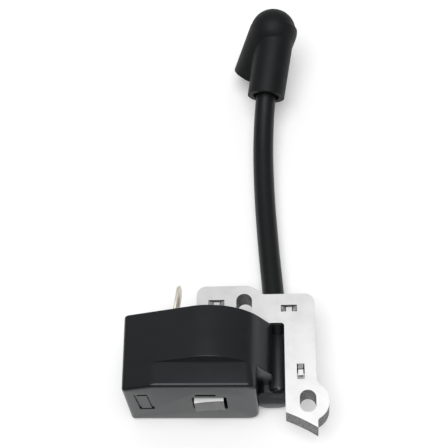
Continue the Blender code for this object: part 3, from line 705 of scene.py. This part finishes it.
def add_tab(bm, centre, angle, top):
    """The strip pressed down in a tab's hole: a ramp, a crease, the floor, a crease and a ramp."""
    side_gap = 0.36
    end_gap = 0.1
    end_drop = 0.08
    crease = 0.28
    crease_drop = 0.25
    width = TAB_WIDTH / 2 - side_gap
    floor = TAB_LENGTH * 0.19
    thickness = SHEET_THICKNESS * 0.9
    near = (
        (TAB_LENGTH / 2 - end_gap, -end_drop),
        (floor + crease, -TAB_DEPTH),
        (floor + crease / 2, -TAB_DEPTH - crease_drop),
        (floor, -TAB_DEPTH),
    )
    profile = [(-along, drop) for along, drop in near] + list(reversed(near))
    spin = Matrix.Translation((*centre, top)) @ Matrix.Rotation(radians(angle), 4, "Z")
    before = len(bm.faces)
    rings = []
    for along, drop in profile:
        under = drop - thickness
        section = ((-width, drop), (width, drop), (width, under), (-width, under))
        rings.append([bm.verts.new(spin @ Vector((along, across, z))) for across, z in section])
    bridge(bm, rings)
    bm.faces.ensure_lookup_table()
    # Materials: 0 is the face, 1 the edge and 2 the ramp, which is painted shade on the slopes; all
    # but the strip's top is edge, and the creases' tops take the dark edge finish as painted shade
    # in the creases
    finishes = (2, 1, 1, 0, 1, 1, 2)
    for number, face in enumerate(bm.faces[before:]):
        segment, side = divmod(number, len(section))
        on_top = side == 0 and segment < len(finishes)
        face.material_index = finishes[segment] if on_top else 1


def build_core():
    """Eleven sheets, each with its slots, its tab holes and the tabs pressed down in them."""
    loops = [sheet_outline(), slot_loop(YOKE_SLOT), slot_loop(LEG_SLOT)]
    loops += [turned_rectangle(centre, angle, TAB_LENGTH, TAB_WIDTH) for centre, angle in TABS]
    sheet = plate(loops, SHEET_THICKNESS, SHEET_EDGE)
    for face in sheet.faces:
        face.material_index = 1 if abs(face.normal.z) < 0.9 else 0
    for number in range(1, SHEETS + 1):
        level = (number - 1) * SHEET_PITCH
        bm = sheet.copy()
        if number > 1:
            for centre, angle in TABS:
                add_tab(bm, centre, angle, SHEET_THICKNESS)
        bmesh.ops.translate(bm, verts=bm.verts, vec=(0, 0, level))
        name = f"sheet_{number:02d}"
        piece = make_piece(name, bm, [FACE, EDGE, SHADED_RAMP], smooth=25.0, flat_tops=True)
        stand_for(piece, f"lamination_{number:02d}")
    sheet.free()


# ---------------------------------------------------------------- coil case


def roof_slope():
    """Slope of the roof's left side: it runs from the eave to touch the round roof."""
    run = COIL_X - CASE_LOW.x
    drop = COIL_Z - CASE_EAVE
    return asin(ROOF_RADIUS / hypot(run, drop)) + atan2(drop, run)


def rear_corners():
    """Behind the step: the two tangents of the round roof meet in the corner it rounds off."""
    low = CASE_LOW.z
    flank = radians(FLANK_ANGLE)
    left_tangent = pi / 2 + roof_slope()
    middle = (flank + left_tangent) / 2
    far = ROOF_RADIUS / cos((left_tangent - flank) / 2)
    shoulder = COIL_Z + (ROOF_RADIUS - (CASE_REAR_RIGHT - COIL_X) * cos(flank)) / sin(flank)
    return (
        (CASE_LOW.x, low, 1.1, 5),
        (CASE_REAR_RIGHT, low, 1.0, 4),
        (CASE_REAR_RIGHT, shoulder, 1.6, 6),
        (COIL_X + far * cos(middle), COIL_Z + far * sin(middle), ROOF_RADIUS, 60),
        (CASE_LOW.x, CASE_EAVE, 1.7, 8),
    )


def nose_corners():
    """In front of the step: a flat shelf, and the same sloping roof on its left."""
    ridge = CASE_LOW.x + (CASE_SHELF - CASE_EAVE) / tan(roof_slope())
    return (
        (CASE_LOW.x, CASE_LOW.z, 1.1, 5),
        (CASE_RIGHT, CASE_LOW.z, 3.8, 12),
        (CASE_RIGHT, CASE_SHELF, 3.0, 8),
        (ridge, CASE_SHELF, 10.0, 10),
        (CASE_LOW.x, CASE_EAVE, 1.7, 8),
    )


def reach(loop, angle):
    """Distance from the coil's axis to the loop along a ray."""
    parallel = 1e-12
    slack = 1e-9
    axis = Vector((COIL_X, COIL_Z))
    ray = Vector((cos(angle), sin(angle)))
    best = 0.0
    for a, b in zip(loop, loop[1:] + loop[:1]):
        a = Vector(a) - axis
        side = Vector(b) - axis - a
        scale = ray.x * side.y - ray.y * side.x
        if abs(scale) < parallel:
            continue
        along = (a.x * side.y - a.y * side.x) / scale
        share = (a.x * ray.y - a.y * ray.x) / scale
        if along > 0 and -slack <= share <= 1 + slack:
            best = max(best, along)
    return best


def ray_angles():
    """Rays through every point of both outlines, thinned so that none nearly coincide."""
    coarse_rays = 120
    closest = 0.006  # radians
    points = rounded_loop(rear_corners()) + rounded_loop(nose_corners())
    angles = [atan2(z - COIL_Z, x - COIL_X) % (2 * pi) for x, z in points]
    angles += [2 * pi * i / coarse_rays for i in range(coarse_rays)]
    merged = []
    for angle in sorted(angles):
        if not merged or angle - merged[-1] > closest:
            merged.append(angle)
    return merged


def case_shell():
    """One loft along Y: rounded front, nose, step wall with a rounded lip, roof, rounded back."""
    angles = ray_angles()
    turns = quarter(6)
    bm = bmesh.new()
    rings = []

    def section(corners, y, inset=0.0):
        loop = rounded_loop(corners, inset - CASE_DRAFT * (y - CASE_STEP))
        return [reach(loop, a) for a in angles]

    def add_ring(place, radii):
        """A ring at one y, or at a y of its own for each ray."""
        ys = place if isinstance(place, list) else [place] * len(angles)
        verts = []
        for y, radius, angle in zip(ys, radii, angles):
            x = COIL_X + radius * cos(angle)
            z = max(COIL_Z + radius * sin(angle), CASE_LOW.z)
            verts.append(bm.verts.new((x, y - CASE_SKEW * (x - COIL_X), z)))
        rings.append(verts)

    for turn in turns:
        y = CASE_LOW.y + FRONT_ROUND * (1 - cos(turn))
        add_ring(y, section(nose_corners(), y, FRONT_ROUND * (1 - sin(turn))))
    y = CASE_LOW.y + FRONT_ROUND + HOLD
    add_ring(y, section(nose_corners(), y))

    # The lip fades out where the roof and the nose meet
    rear = section(rear_corners(), CASE_STEP)
    nose = [min(r, n) for r, n in zip(rear, section(nose_corners(), CASE_STEP))]
    lips = [max(min(LIP_ROUND, (r - n) * 0.6), 0.02) for r, n in zip(rear, nose)]
    add_ring(CASE_STEP - 1.0, nose)
    add_ring(CASE_STEP, nose)
    for turn in turns:
        ys = [CASE_STEP + lip * (1 - cos(turn)) + 0.01 for lip in lips]
        radii = [max(r - lip * (1 - sin(turn)), n) for r, lip, n in zip(rear, lips, nose)]
        add_ring(ys, radii)

    for y in (CASE_STEP + LIP_ROUND + HOLD, CASE_HIGH.y - BACK_ROUND - HOLD):
        add_ring(y, section(rear_corners(), y))
    for turn in reversed(turns):
        y = CASE_HIGH.y - BACK_ROUND * (1 - cos(turn))
        add_ring(y, section(rear_corners(), y, BACK_ROUND * (1 - sin(turn))))
    return bridge(bm, rings)


def leg_window(left, above):
    """The window round the core's leg, with small gaps below and to the right."""
    below = 0.45
    right = 0.2
    half = LEG_WIDTH / 2
    low = COIL_Z - STACK_TOP / 2 - below
    high = COIL_Z + STACK_TOP / 2 + above
    return rectangle(COIL_X - half - left, COIL_X + half + right, low, high, 0.4, 3)


def tower_tool():
    """Tube along the right of the case, its rear rim rounded and its front end domed."""
    rim = 0.5
    length = CASE_HIGH.y - TOWER_FRONT
    profile = []
    for turn in quarter(4):
        profile.append((rim * (1 - cos(turn)), TOWER_RADIUS - rim * (1 - sin(turn))))
    for turn in quarter(10)[:-1]:
        radius = TOWER_RADIUS * cos(turn) ** 0.7
        profile.append((length - TOWER_DOME * (1 - sin(turn)), radius))
    return turned(profile, LEAD_POINTS[0], DOWN_Y)


def boss_tool():
    """Boss below the tube's front end: round underneath, upright in front, sloping on top."""
    low = BOSS_Z - BOSS_RADIUS
    high = TOWER_Z + 3.9
    left = BOSS_X - BOSS_RADIUS
    right = BOSS_X + BOSS_RADIUS
    corners = (
        (left, low, 3.8, 10),
        (right, low, 4.6, 14),
        (right, high, 3.2, 14),
        (left, high, 2.4, 8),
    )
    bm = block_xz(corners, BOSS_FRONT, CASE_STEP + 4.0, rounding=0.9)
    # Two planes, each through a height and a y, and leaning back from upright
    for height, y, lean in ((low + 4.1, BOSS_FRONT, 72.0), (low + 4.9, BOSS_FRONT + 0.25, 60.0)):
        tilt = radians(lean)
        shave(bm, Vector((0, y, height)), Vector((0, -sin(tilt), cos(tilt))))
    return bm


def yoke_cover_tool():
    """Thin plate of the case's black plastic over the front of the yoke, between the case and the
    free leg, which makes that face black.
    """
    thickness = 0.5
    back = -YOKE_DEPTH / 2 - 0.04
    left = CASE_REAR_RIGHT - 2.0
    right = -LEG_WIDTH / 2 - 0.1
    corners = rectangle(left, right, 0.3, STACK_TOP - 0.25, 0.1, 2)
    return block_xz(corners, back - thickness, back)


def gate_mark():
    """The small bright stub that the moulding gate leaves on the tube's front end."""
    x = TOWER_X - 0.6
    y = TOWER_FRONT + 0.7 * TOWER_DOME
    z = TOWER_Z + TOWER_RADIUS - 0.3
    return turned(ball(0.55, 5, 176, 10), Vector((x, y, z)), Vector((0, 0, 1)), steps=24)


def open_case(case):
    """Cut the hollow, the window for the core's leg, the lead's bore and the blade's slot."""
    left, right = CASE_LOW.x + WALL, CASE_RIGHT - WALL
    hollow = (
        (left, CASE_LOW.z - 2.0, 0.5, 3),
        (right, CASE_LOW.z - 2.0, 0.5, 3),
        (right, CASE_EAVE - WALL, 1.0, 4),
        (left, CASE_EAVE - WALL, 1.0, 4),
    )
    spare = 1.0
    front, back = CASE_LOW.y - spare, CASE_HIGH.y + spare
    cut(case, block_xz(hollow, CASE_LOW.y + WALL, CASE_HIGH.y - WALL))
    cut(case, block_xz(leg_window(0.6, 0.75), front, back))
    # The window is a little wider where it meets the front
    cut(case, block_xz(leg_window(0.75, 0.9), front, CASE_LOW.y + 1.6))
    lip = 0.35
    bore = [(-spare, TOWER_BORE + lip + spare), (lip, TOWER_BORE), (TOWER_BORE_DEPTH, TOWER_BORE)]
    cut(case, turned(bore, LEAD_POINTS[0], DOWN_Y))
    low, high = box_mm("stop_terminal")
    half_slot = 1.1
    left, right = blade_x() - half_slot, blade_x() + half_slot
    slot = rectangle(left, right, low.z - 0.05, high.z + 0.05, 0.05, 1)
    cut(case, block_xz(slot, CASE_HIGH.y - WALL - spare, back))


def build_case():
    """The case: shell, tube, boss and gate mark in one moulding, joined by the black plate over the
    yoke's front, then its openings.
    """
    case = make_piece("case_moulding", case_shell(), [CASE])
    for tool in (tower_tool, boss_tool, gate_mark, yoke_cover_tool):
        cut(case, tool(), "UNION")
    open_case(case)
    mark_front(case)
    finish_with(case, CASE, TUBE_HIGHLIGHT)
    # Painted highlight: the tube's faces take a lighter, glossier copy of the case's black, though
    # the case is one moulding
    for face in case.data.polygons:
        across = Vector((face.center.x / MM - TOWER_X, face.center.z / MM - TOWER_Z))
        on_tube = abs(across.length - TOWER_RADIUS) < 0.1 and abs(face.normal.y) < 0.3
        face.material_index = int(on_tube)
    stand_for(case, "coil_case")


def mark_front(case):
    """Shallow details on the front: a blank framed panel, and a tool mark over the window."""
    tilt = Matrix.Rotation(radians(3.0), 2)

    def groove(centre, width, height, spin=Matrix.Identity(2)):
        depth = 0.45
        corners = []
        for sx, sz in ((-1, -1), (1, -1), (1, 1), (-1, 1)):
            corner = Vector(centre) + spin @ Vector((sx * width / 2, sz * height / 2))
            corners.append((*corner, 0.15, 2))
        face = CASE_LOW.y - CASE_SKEW * (centre[0] - COIL_X)
        cut(case, block_xz(corners, face - 1.0, face + depth))

    centre = Vector((CASE_LOW.x + 6.0, COIL_Z + 1.2))
    width, height, line = 3.8, 10.8, 0.9
    for sx in (-1, 1):
        groove(centre + tilt @ Vector((sx * width / 2, 0.0)), line, height, tilt)
    for sz in (-1, 1):
        groove(centre + tilt @ Vector((0.0, sz * height / 2)), width + line, line, tilt)
    groove((COIL_X - 1.2, STACK_TOP + 2.5), width=6.2, height=1.3)


def build_resin():
    """The cast resin in the open underside, drawn up a little where it wets the wall."""
    columns, rows = 96, 56
    bite = 0.05
    left, right = CASE_LOW.x + WALL - bite, CASE_RIGHT - WALL + bite
    front, back = CASE_LOW.y + WALL - bite, CASE_HIGH.y - WALL + bite
    level = CASE_LOW.z + 0.7
    wetting, wetting_reach = 0.55, 0.7
    bm = bmesh.new()
    skin = []
    for j in range(rows + 1):
        y = front + (back - front) * j / rows
        line = []
        for i in range(columns + 1):
            x = left + (right - left) * i / columns
            from_wall = min(x - left, right - x, y - front, back - y)
            drop = wetting * exp(-from_wall / wetting_reach)
            ripple = 0.06 * noise.noise(Vector((x, y, 3.0)) * 0.16)
            line.append(bm.verts.new((x, y, level - drop + ripple)))
        skin.append(line)
    inside = [[bm.verts.new((v.co.x, v.co.y, CASE_LOW.z + 3.0)) for v in line] for line in skin]
    for j in range(rows):
        for i in range(columns):
            square = ((j, i), (j + 1, i), (j + 1, i + 1), (j, i + 1))
            bm.faces.new([skin[a][b] for a, b in square])
            bm.faces.new([inside[a][b] for a, b in reversed(square)])
    border = [(0, i) for i in range(columns)] + [(j, columns) for j in range(rows)]
    border += [(rows, i) for i in range(columns, 0, -1)] + [(j, 0) for j in range(rows, 0, -1)]
    for (a, b), (c, d) in zip(border, border[1:] + border[:1]):
        bm.faces.new((skin[a][b], skin[c][d], inside[c][d], inside[a][b]))
    resin = make_piece("resin_fill", bm, [RESIN], smooth=60.0)
    stand_for(resin, "potting_resin")


def blade_x():
    """Where the blade leaves the case, left of its middle because it leans to the right."""
    return box_mm("stop_terminal")[1].x - 1.2


def build_terminal():
    """The stop terminal: a chamfered blade with two small holes, standing on edge."""
    low, high = box_mm("stop_terminal")
    root = CASE_HIGH.y - WALL
    length = high.y - root
    half = (high.z - low.z) / 2
    tip, half_tip = 1.6, 1.5
    corners = (
        (0.0, -half, 0.1, 2),
        (length - tip, -half, 0.5, 4),
        (length, -half_tip, 0.5, 4),
        (length, half_tip, 0.5, 4),
        (length - tip, half, 0.5, 4),
        (0.0, half, 0.1, 2),
    )
    sides = 16
    last = 360 - 360 / sides
    holes = [arc((length - away, 1.0), 0.5, 0, last, sides - 1) for away in (5.2, 6.7)]
    bm = plate([rounded_loop(corners)] + holes, BLADE_THICKNESS, 0.09)
    place = (blade_x() - BLADE_THICKNESS / 2, root, (low.z + high.z) / 2)
    lean = Matrix.Rotation(radians(-BLADE_LEAN), 4, "Z")
    roll = Matrix.Rotation(radians(-BLADE_ROLL), 4, "Y")
    # The plate's length goes to +Y, its width to +Z and its thickness to +X
    on_edge = Matrix(((0, 0, 1, 0), (1, 0, 0, 0), (0, 1, 0, 0), (0, 0, 0, 1)))
    stand = Matrix.Translation(place) @ lean @ roll @ on_edge
    bmesh.ops.transform(bm, matrix=stand, verts=bm.verts)
    blade = make_piece("terminal_blade", bm, [TIN])
    stand_for(blade, "stop_terminal")


# ---------------------------------------------------------------- lead


def lead_curve():
    """Centre line through the tower's mouth, the four bending joints and the cap's mouth.

    Also the numbers of the points at which it passes them.
    """
    knots = LEAD_POINTS
    slopes = [Vector((-0.06, 1.0, 0.0)).normalized()]
    for before, here, after in zip(knots, knots[1:], knots[2:]):
        near = here - before
        far = after - here
        ratio = far.length / near.length
        slopes.append((near * ratio + far / ratio).normalized())
    slopes.append(CAP_DIRECTION)
    points = [knots[0] - Vector((0.0, inside, 0.0)) for inside in (9.0, 4.0)]
    marks = []
    for start, end, leave, arrive in zip(knots, knots[1:], slopes, slopes[1:]):
        marks.append(len(points))
        gap = (end - start).length
        for k in range(LEAD_STEPS):
            t = k / LEAD_STEPS
            point = (2 * t**3 - 3 * t**2 + 1) * start + (3 * t**2 - 2 * t**3) * end
            point += gap * ((t**3 - 2 * t**2 + t) * leave + (t**3 - t**2) * arrive)
            points.append(point)
    marks.append(len(points))
    points += [CAP_MOUTH + inside * CAP_DIRECTION for inside in (0.0, 4.0, 10.0)]
    return points, marks


def tube(points, sides=48):
    """A capped tube round a row of points."""
    bm = bmesh.new()
    rings = []
    for i, here in enumerate(points):
        before = points[max(i - 1, 0)]
        after = points[min(i + 1, len(points) - 1)]
        tangent = (after - before).normalized()
        side = tangent.cross(Vector((0, 0, 1))).normalized()
        up = side.cross(tangent)
        turns = [2 * pi * k / sides for k in range(sides)]
        offsets = [LEAD_RADIUS * (cos(turn) * side + sin(turn) * up) for turn in turns]
        rings.append([bm.verts.new(here + offset) for offset in offsets])
    return bridge(bm, rings)


def build_lead():
    """Four lengths of jacket, each bending across one joint, meeting halfway between the joints."""
    points, marks = lead_curve()
    half = LEAD_STEPS // 2
    joints = ("lead_sway", "lead_lift", "lead_sway_far", "lead_lift_far")
    covered = ((1, 2), (3,), (4,), (5,))
    ends = [0] + [mark + half for mark in marks[1:4]] + [len(points) - 1]
    for i, name in enumerate(joints):
        length = points[ends[i]: ends[i + 1] + 1]
        skin = make_piece(f"lead_skin_{i + 1}", tube(length), [LEAD], smooth=50.0)
        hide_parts(*[f"lead_jacket_{number}" for number in covered[i]])
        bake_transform(skin)


# ---------------------------------------------------------------- plug cap


def domed(radius, length):
    """The profile of a tube that starts in a dome."""
    return ball(radius, 4, 91, 6) + [(length, radius)]


def plug_sleeve():
    """The plug's sleeve stands a little proud of the dome, above a ledge square to the lead."""
    centre = CAP_HEAD - CAP_SUNK * PLUG_SIDE
    bm = turned(domed(CAP_PLUG_RADIUS, CAP_PLUG_LENGTH), centre, PLUG_DIRECTION)
    return shave(bm, CAP_HEAD + CAP_LEDGE * CAP_DIRECTION, CAP_DIRECTION)


def build_cap():
    """An elbow of soft rubber: sleeve, domed head and plug sleeve, run together and then bored."""
    spare = 1.5
    sleeve = [(-spare, CAP_SLEEVE_RADIUS), (CAP_SLEEVE, CAP_SLEEVE_RADIUS + 0.25)]
    lean = (CAP_HEAD + CAP_LEAN - CAP_MOUTH).normalized()
    cap = make_piece("cap_moulding", turned(sleeve, CAP_MOUTH, lean), [RUBBER])
    head = domed(CAP_HEAD_RADIUS, CAP_PLUG_LENGTH - 3.0)
    cut(cap, turned(head, CAP_HEAD, PLUG_DIRECTION), "UNION")
    cut(cap, plug_sleeve(), "UNION")
    remesh = cap.modifiers.new("even", "REMESH")
    remesh.mode = "VOXEL"
    remesh.voxel_size = 0.3 * MM
    smooth = cap.modifiers.new("soften", "SMOOTH")
    smooth.factor = 0.5
    smooth.iterations = 4
    apply_modifiers(cap, smooth=60.0)
    trim = [(-5.0, 2 * CAP_SLEEVE_RADIUS), (0.0, 2 * CAP_SLEEVE_RADIUS)]
    cut(cap, turned(trim, CAP_MOUTH, CAP_DIRECTION, steps=64))
    lip = 0.5
    flare = CAP_PLUG_BORE + lip + 1.0
    plug_bore = [(-CAP_PLUG_LENGTH, CAP_PLUG_BORE), (-lip, CAP_PLUG_BORE), (1.0, flare)]
    rim_centre = CAP_HEAD + CAP_PLUG_LENGTH * PLUG_DIRECTION
    cut(cap, turned(plug_bore, rim_centre, PLUG_DIRECTION))
    lead_bore = [(-1.0, 4.9), (0.3, 4.7), (4.0, 3.75), (CAP_SLEEVE - 2.0, 3.66)]
    cut(cap, turned(lead_bore, CAP_MOUTH, CAP_DIRECTION))
    finish_with(cap, RUBBER)
    stand_for(cap, "plug_cap", body="cap")


# ---------------------------------------------------------------- floor, light and camera


def build_floor():
    """A plain pale floor just under the case."""
    tree = Tree("floor").set(Roughness=0.7, Emission_Color=(1, 1, 1, 1), Emission_Strength=0.24)
    tree.colour(tree.noise(3.0, detail=2.0), (0.3, grey(0.84)), (0.7, grey(0.86)))
    bm = bmesh.new()
    bmesh.ops.create_grid(bm, x_segments=8, y_segments=8, size=3000.0)
    bmesh.ops.translate(bm, verts=bm.verts, vec=(0, 0, cad_low.z / MM - 0.05))
    make_piece("floor", bm, [tree.material])


def build_sky():
    """Soft light that grows from the front to above and behind, and a plain pale background."""
    world = bpy.data.worlds.new("studio")
    bpy.context.scene.world = world
    world.use_nodes = True
    nodes, links = world.node_tree.nodes, world.node_tree.links
    sky = nodes["Background"]
    coordinates = nodes.new("ShaderNodeTexCoord")
    ramp = nodes.new("ShaderNodeValToRGB")
    for element, position, value in zip(ramp.color_ramp.elements, (0.0, 1.0), (0.12, 0.52)):
        element.position = position
        element.color = (*grey(value), 1)
    brightest = nodes.new("ShaderNodeVectorMath")
    brightest.operation = "DOT_PRODUCT"
    brightest.inputs[1].default_value = (0.0, 0.5, 0.866)
    links.new(coordinates.outputs["Generated"], brightest.inputs[0])
    links.new(brightest.outputs["Value"], ramp.inputs["Fac"])
    links.new(ramp.outputs["Color"], sky.inputs["Color"])
    pale = nodes.new("ShaderNodeBackground")
    pale.inputs["Color"].default_value = (*grey(0.95), 1)
    path = nodes.new("ShaderNodeLightPath")
    mix = nodes.new("ShaderNodeMixShader")
    links.new(path.outputs["Is Camera Ray"], mix.inputs[0])
    links.new(sky.outputs[0], mix.inputs[1])
    links.new(pale.outputs[0], mix.inputs[2])
    links.new(mix.outputs[0], nodes["World Output"].inputs["Surface"])
    bpy.context.scene.view_settings.view_transform = "Standard"


def build_lamp():
    """A wide, soft light nearly overhead."""
    sun = bpy.data.lights.new("overhead", "SUN")
    sun.energy = 1.95
    sun.angle = radians(46.0)
    lamp = bpy.data.objects.new("overhead", sun)
    lamp.rotation_euler = (radians(13.0), radians(-4.0), 0.0)
    bpy.context.collection.objects.link(lamp)


def build_camera():
    """The camera looks down at the coil from the front, a little from the right, and is tilted."""
    azimuth = radians(7.02)
    elevation = radians(59.16)
    roll = radians(7.47)
    distance = 365.56
    target = Vector((-23.98, 31.3, STACK_TOP))
    back = Vector((sin(azimuth) * cos(elevation), -cos(azimuth) * cos(elevation), sin(elevation)))
    level = Vector((cos(azimuth), sin(azimuth), 0.0))
    raised = back.cross(level)
    right = cos(roll) * level - sin(roll) * raised
    up = back.cross(right)
    camera = bpy.data.cameras.new("camera")
    camera.lens = 88.98
    camera.sensor_width = 36.0
    camera.clip_start = 0.01
    camera.clip_end = 20.0
    holder = bpy.data.objects.new("camera", camera)
    place = Matrix((right, up, back)).transposed().to_4x4()
    place.translation = (target + distance * back) * MM
    holder.matrix_world = place
    bpy.context.collection.objects.link(holder)
    bpy.context.scene.camera = holder


FACE = sheet_face()
EDGE = sheet_edge()
# The tabs' ramps: the sheet's own steel painted darker, as painted shade on the slopes
SHADED_RAMP = plain_finish("tab_ramp_painted_shade", grey(0.40), grey(0.75), 0.45, metallic=0.5, scale=900.0)
CASE = moulded_black("case_black", tone=0.0115, roughness=0.24, ior=1.41)
# Painted highlight: the case's black made lighter and glossier for the tube's faces
TUBE_HIGHLIGHT = moulded_black("tube_black_painted_highlight", tone=0.016, roughness=0.38, ior=1.66)
LEAD = lead_insulation()
RUBBER = cap_rubber()
RESIN = cast_resin()
TIN = tinned_metal()

dress_cad_nodes()
build_core()
build_case()
build_resin()
build_terminal()
build_lead()
build_cap()
build_floor()
build_sky()
build_lamp()
build_camera()
